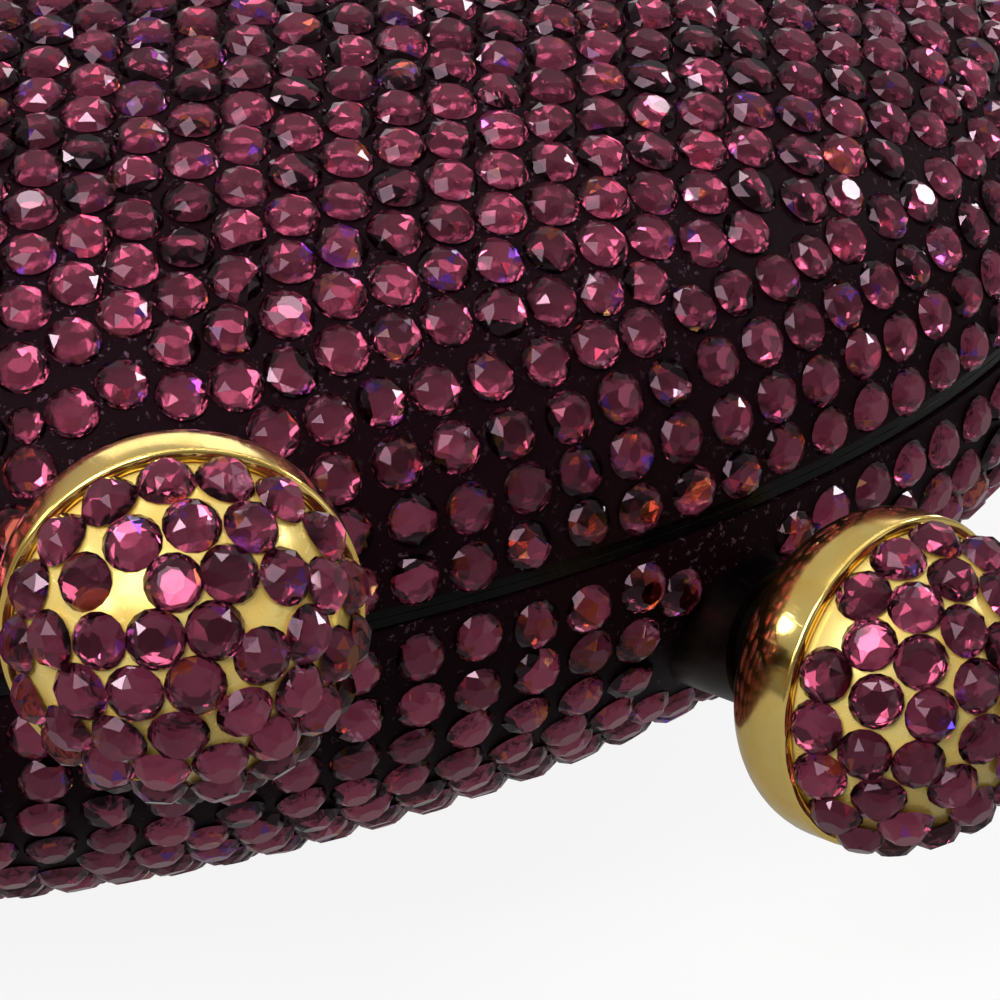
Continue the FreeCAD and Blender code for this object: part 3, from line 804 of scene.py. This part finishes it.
def knob_cup(side):
    """Lathed bowl with a rolled lip, a fine groove along it, a seat for the dome and a neck painted dark as
    shade.
    """
    back = LIP_STAND - CUP_DEPTH
    groove_in = CUP_RADIUS - GROOVE_INSET - HALF_GROOVE
    groove_out = CUP_RADIUS - GROOVE_INSET + HALF_GROOVE
    inner = CUP_RADIUS - CUP_WALL
    line = [(STEM_RADIUS, NECK_END), (NECK_RADIUS, NECK_END), (NECK_RADIUS, back - NECK_FILLET),
            (NECK_RADIUS + FILLET_MIDDLE, back - FILLET_MIDDLE), (NECK_RADIUS + NECK_FILLET, back)]
    line += arc(CUP_RADIUS - CUP_ROUND, back + CUP_ROUND, CUP_ROUND, -90, 0, 14)
    line += arc(CUP_RADIUS - LIP_ROLL, LIP_STAND - LIP_ROLL, LIP_ROLL, 0, 90, 6)
    line += [(groove_out, LIP_STAND), (groove_out, LIP_STAND - GROOVE_DEPTH),
             (groove_in, LIP_STAND - GROOVE_DEPTH), (groove_in, LIP_STAND)]
    line += arc(inner + LIP_BEAD, LIP_STAND - LIP_BEAD, LIP_BEAD, 90, 180, 4)
    line += [(inner, LIP_STAND - CUP_SEAT), (STEM_RADIUS, LIP_STAND - CUP_SEAT)]
    bm = bmesh.new()
    points = [bm.verts.new((radius, 0, level)) for radius, level in line]
    edges = [bm.edges.new(pair) for pair in zip(points, points[1:] + points[:1])]
    bmesh.ops.spin(bm, geom=points + edges, cent=(0, 0, 0), axis=(0, 0, 1), angle=math.tau, steps=LATHE_STEPS,
                   use_merge=True)
    bmesh.ops.recalc_face_normals(bm, faces=bm.faces[:])
    for face in bm.faces:
        face.material_index = 1 if face.calc_center_median().z < back else 0  # neck painted dark as shade, gold bowl
    shade_smooth(bm)
    bm.transform(knob_place(side))
    piece = new_object(side + "_cup", to_mesh(side + "_cup", bm), gold, painted_shade_metal)
    settle(piece, side + "_knob", "gold", side + "_knob_cup")


for side in ("right", "left"):
    dome_stones(side)
    knob_cup(side)


# Frames in the mouth, strikes, hinge leaves and hooks: the CAD forms with softened edges

def softened(node, body, slot, material, width):
    """A CAD node again, with its sharp edges rounded."""
    bm = bmesh.new()
    bm.from_mesh(frame["nodes"][node].data)
    bmesh.ops.remove_doubles(bm, verts=bm.verts[:], dist=0.001 * MM)
    bmesh.ops.dissolve_limit(bm, angle_limit=math.radians(0.5), verts=bm.verts[:], edges=bm.edges[:])
    shade_smooth(bm)
    piece = new_object(node + "_finished", to_mesh(node + "_finished", bm), material)
    bevel = piece.modifiers.new("softened_edges", "BEVEL")
    bevel.width = width
    bevel.segments = 2
    bevel.limit_method = "ANGLE"
    bevel.angle_limit = math.radians(40)
    bevel.harden_normals = True
    settle(piece, body, slot, node)


for half, body, side in (("lower", "base", "right"), ("upper", "lid", "left")):
    softened(half + "_rim_frame", body, "black_lacquer", black_lacquer, 0.2 * MM)
    softened(half + "_strike", body, "steel", steel, 0.15 * MM)
    softened("hinge_" + body + "_leaf", body, "gold", gold, 0.12 * MM)
    softened(side + "_hook", side + "_knob", "steel", steel, 0.15 * MM)


# Linings

def lining(half, body, place):
    """Leather bowl under the rim frame: pleated sides, a sewn crease and a padded middle."""
    length, width, depth = (size - LINING_INSET for size in (HALF_LENGTH, HALF_WIDTH, HALF_DEPTH))
    sides = []
    for step in range(LINING_STEPS + 1):
        sine = LINING_TOP + (LINING_FOOT - LINING_TOP) * step / LINING_STEPS
        sides.append((math.sqrt(1 - (FLAT_LEVEL * sine) ** SIDE_POWER), -depth * sine))
    foot_share, foot_level = sides[-1]
    crease = [(foot_share - inwards, foot_level + rise) for inwards, rise in CREASE]
    pad_share = crease[-1][0]
    pad_level = PAD_CLEAR - depth
    pad = []
    for step in range(1, LINING_STEPS):
        inwards = step / LINING_STEPS
        swell = math.sin(math.pi / 2 * min(1.0, inwards / PAD_EDGE))
        pad.append((pad_share * (1 - inwards), foot_level + swell * (pad_level - foot_level)))
    bm = oval_bowl([(length * share, width * share, level) for share, level in sides + crease + pad],
                   LINING_SEGMENTS)
    for vert in bm.verts:
        angle = math.atan2(vert.co.y / width, vert.co.x / length)
        broad = math.sin(PLEAT_WAVES * angle) * math.sin(PLEAT_GROUPS * angle + 1)
        pleat = broad + math.sin(FINE_PLEATS * angle + 2) / 2
        steep = max(0.0, 1 + vert.co.z / depth)
        vert.co -= Vector((vert.co.x, vert.co.y, 0)).normalized() * PLEAT * pleat * steep
    bmesh.ops.recalc_face_normals(bm, faces=bm.faces[:])
    if max(bm.faces, key=lambda face: face.calc_area()).normal.z < 0:
        bmesh.ops.reverse_faces(bm, faces=bm.faces[:])
    for face in bm.faces:
        face.smooth = True
    bm.transform(place @ AT_SEAM)
    piece = new_object(half + "_leather", to_mesh(half + "_leather", bm), lining_leather)
    thick = piece.modifiers.new("card_and_leather", "SOLIDIFY")
    thick.thickness = LINING_THICKNESS
    thick.offset = -1
    settle(piece, body, "gold_leather", half + "_lining")


lining("lower", "base", Matrix.Identity(4))
lining("upper", "lid", TURNED_OVER)


# Everything else keeps its CAD form

# Bush, stem and washer take the metal painted dark as shade; the others keep their own finishes.
FINISHES = {"shell": plum_lacquer, "frame": black_lacquer, "lining": lining_leather, "strike": steel,
            "bush": painted_shade_metal, "nut": steel, "leaf": gold, "rivets": gold, "pin": gold, "cup": gold,
            "dome": satin_gold, "stem": painted_shade_metal, "washer": painted_shade_metal, "hook": steel,
            "pave": crystal_glass}
for name, node in frame["nodes"].items():
    node.data.materials.clear()
    node.data.materials.append(FINISHES[name.split("_")[-1]])


# Studio

def floor():
    """Pale floor: white to the camera, with the shadow left on it, and dimmer in the metal and the stones."""
    bm = bmesh.new()
    bmesh.ops.create_circle(bm, cap_ends=True, segments=96, radius=4.0)
    material, tree, shader = finish("floor_white", Roughness=0.9)
    rays = add(tree, "ShaderNodeLightPath").outputs
    coloured(tree, shader, rays["Is Camera Ray"], (0.08, 0.08, 0.08), (0.9, 0.9, 0.9))
    share = 0.0
    for kind, white in (("Is Camera Ray", 0.9), ("Is Glossy Ray", 0.3), ("Is Transmission Ray", 0.04)):
        seen = add(tree, "ShaderNodeMath", [(0, rays[kind]), (1, white), (2, share)],
                   operation="MULTIPLY_ADD")
        share = seen.outputs[0]
    glow = add(tree, "ShaderNodeEmission", [("Color", (1, 1, 1, 1)), ("Strength", 1.0)])
    both = add(tree, "ShaderNodeMixShader", [(0, share), (1, shader.outputs[0]), (2, glow.outputs[0])])
    tree.links.new(both.outputs[0], tree.nodes["Material Output"].inputs["Surface"])
    new_object("floor", to_mesh("floor", bm), material)


def world():
    """Soft room: pale above and behind the case, dim low down in front."""
    room = bpy.data.worlds.new("room")
    bpy.context.scene.world = room
    room.use_nodes = True
    tree = room.node_tree
    bright_side = Vector((0.1, 0.35, 0.93))
    towards = add(tree, "ShaderNodeVectorMath", [(0, add(tree, "ShaderNodeTexCoord").outputs["Generated"]),
                                                 (1, bright_side)], operation="DOT_PRODUCT")
    background = tree.nodes["Background"]
    dim, pale = 0.14, 0.45
    tree.links.new(ramp(tree, towards.outputs["Value"], 0.0, 0.7, dim, pale), background.inputs["Color"])
    background.inputs["Strength"].default_value = 1.0


def lamp(name, place, length, width, power, aimed=True):
    """Soft lamp; turned to the case, or facing straight down with its length along x."""
    light = bpy.data.lights.new(name, "AREA")
    light.shape = "RECTANGLE"
    light.size = length
    light.size_y = width
    light.energy = power
    item = bpy.data.objects.new(name, light)
    item.location = place
    if aimed:
        item.rotation_mode = "QUATERNION"
        item.rotation_quaternion = (Vector(place) - Vector((0, 0, SEAM))).to_track_quat("Z", "Y")
    bpy.context.scene.collection.objects.link(item)


def camera():
    """Close view from the front left and above, at the photograph's angle."""
    azimuth, elevation, roll = math.radians(-27.2), math.radians(24.2), math.radians(-3.3)
    distance, right_shift, up_shift = 0.397, 0.0291, -0.0162
    lens_pixels, image_pixels = 5820, 1000
    back = Vector((math.sin(azimuth) * math.cos(elevation), -math.cos(azimuth) * math.cos(elevation),
                   math.sin(elevation)))
    right = Vector((math.cos(azimuth), math.sin(azimuth), 0))
    up = back.cross(right)
    data = bpy.data.cameras.new("camera")
    item = bpy.data.objects.new("camera", data)
    bpy.context.scene.collection.objects.link(item)
    bpy.context.scene.camera = item
    data.lens = data.sensor_width * lens_pixels / image_pixels
    data.clip_start = 0.01
    data.clip_end = 20
    rolled_right = right * math.cos(roll) + up * math.sin(roll)
    rolled_up = up * math.cos(roll) - right * math.sin(roll)
    item.rotation_mode = "QUATERNION"
    item.rotation_quaternion = Matrix((rolled_right, rolled_up, back)).transposed().to_quaternion()
    item.location = Vector((0, 0, SEAM)) + right * right_shift + up * up_shift + back * distance


floor()
world()
lamp("key", (-0.7, -0.5, 0.9), 0.7, 0.7, 9.0)
lamp("back", (0.5, 1.0, 0.36), 0.8, 0.5, 1.3)
lamp("front", (0.6, -0.75, 0.2), 0.7, 0.24, 0.4)
for number, y in enumerate((0.3, -0.2)):
    lamp("tube%d" % number, (0.4, y, 0.9), 1.4, 0.025, 1.2, aimed=False)
SPOTS = ((0.62, 0.9, 0.1), (0.3, 1.05, 0.14), (0.85, 0.7, 0.14), (0.05, 1.1, 0.2), (-0.9, -0.2, 0.45),
         (-0.75, 0.4, 0.6), (-0.3, -0.6, 0.9), (0.9, -0.1, 0.5))
for number, place in enumerate(SPOTS):
    lamp("spot%d" % number, place, 0.11, 0.11, 0.9)
camera()
bpy.context.scene.view_settings.view_transform = "Standard"
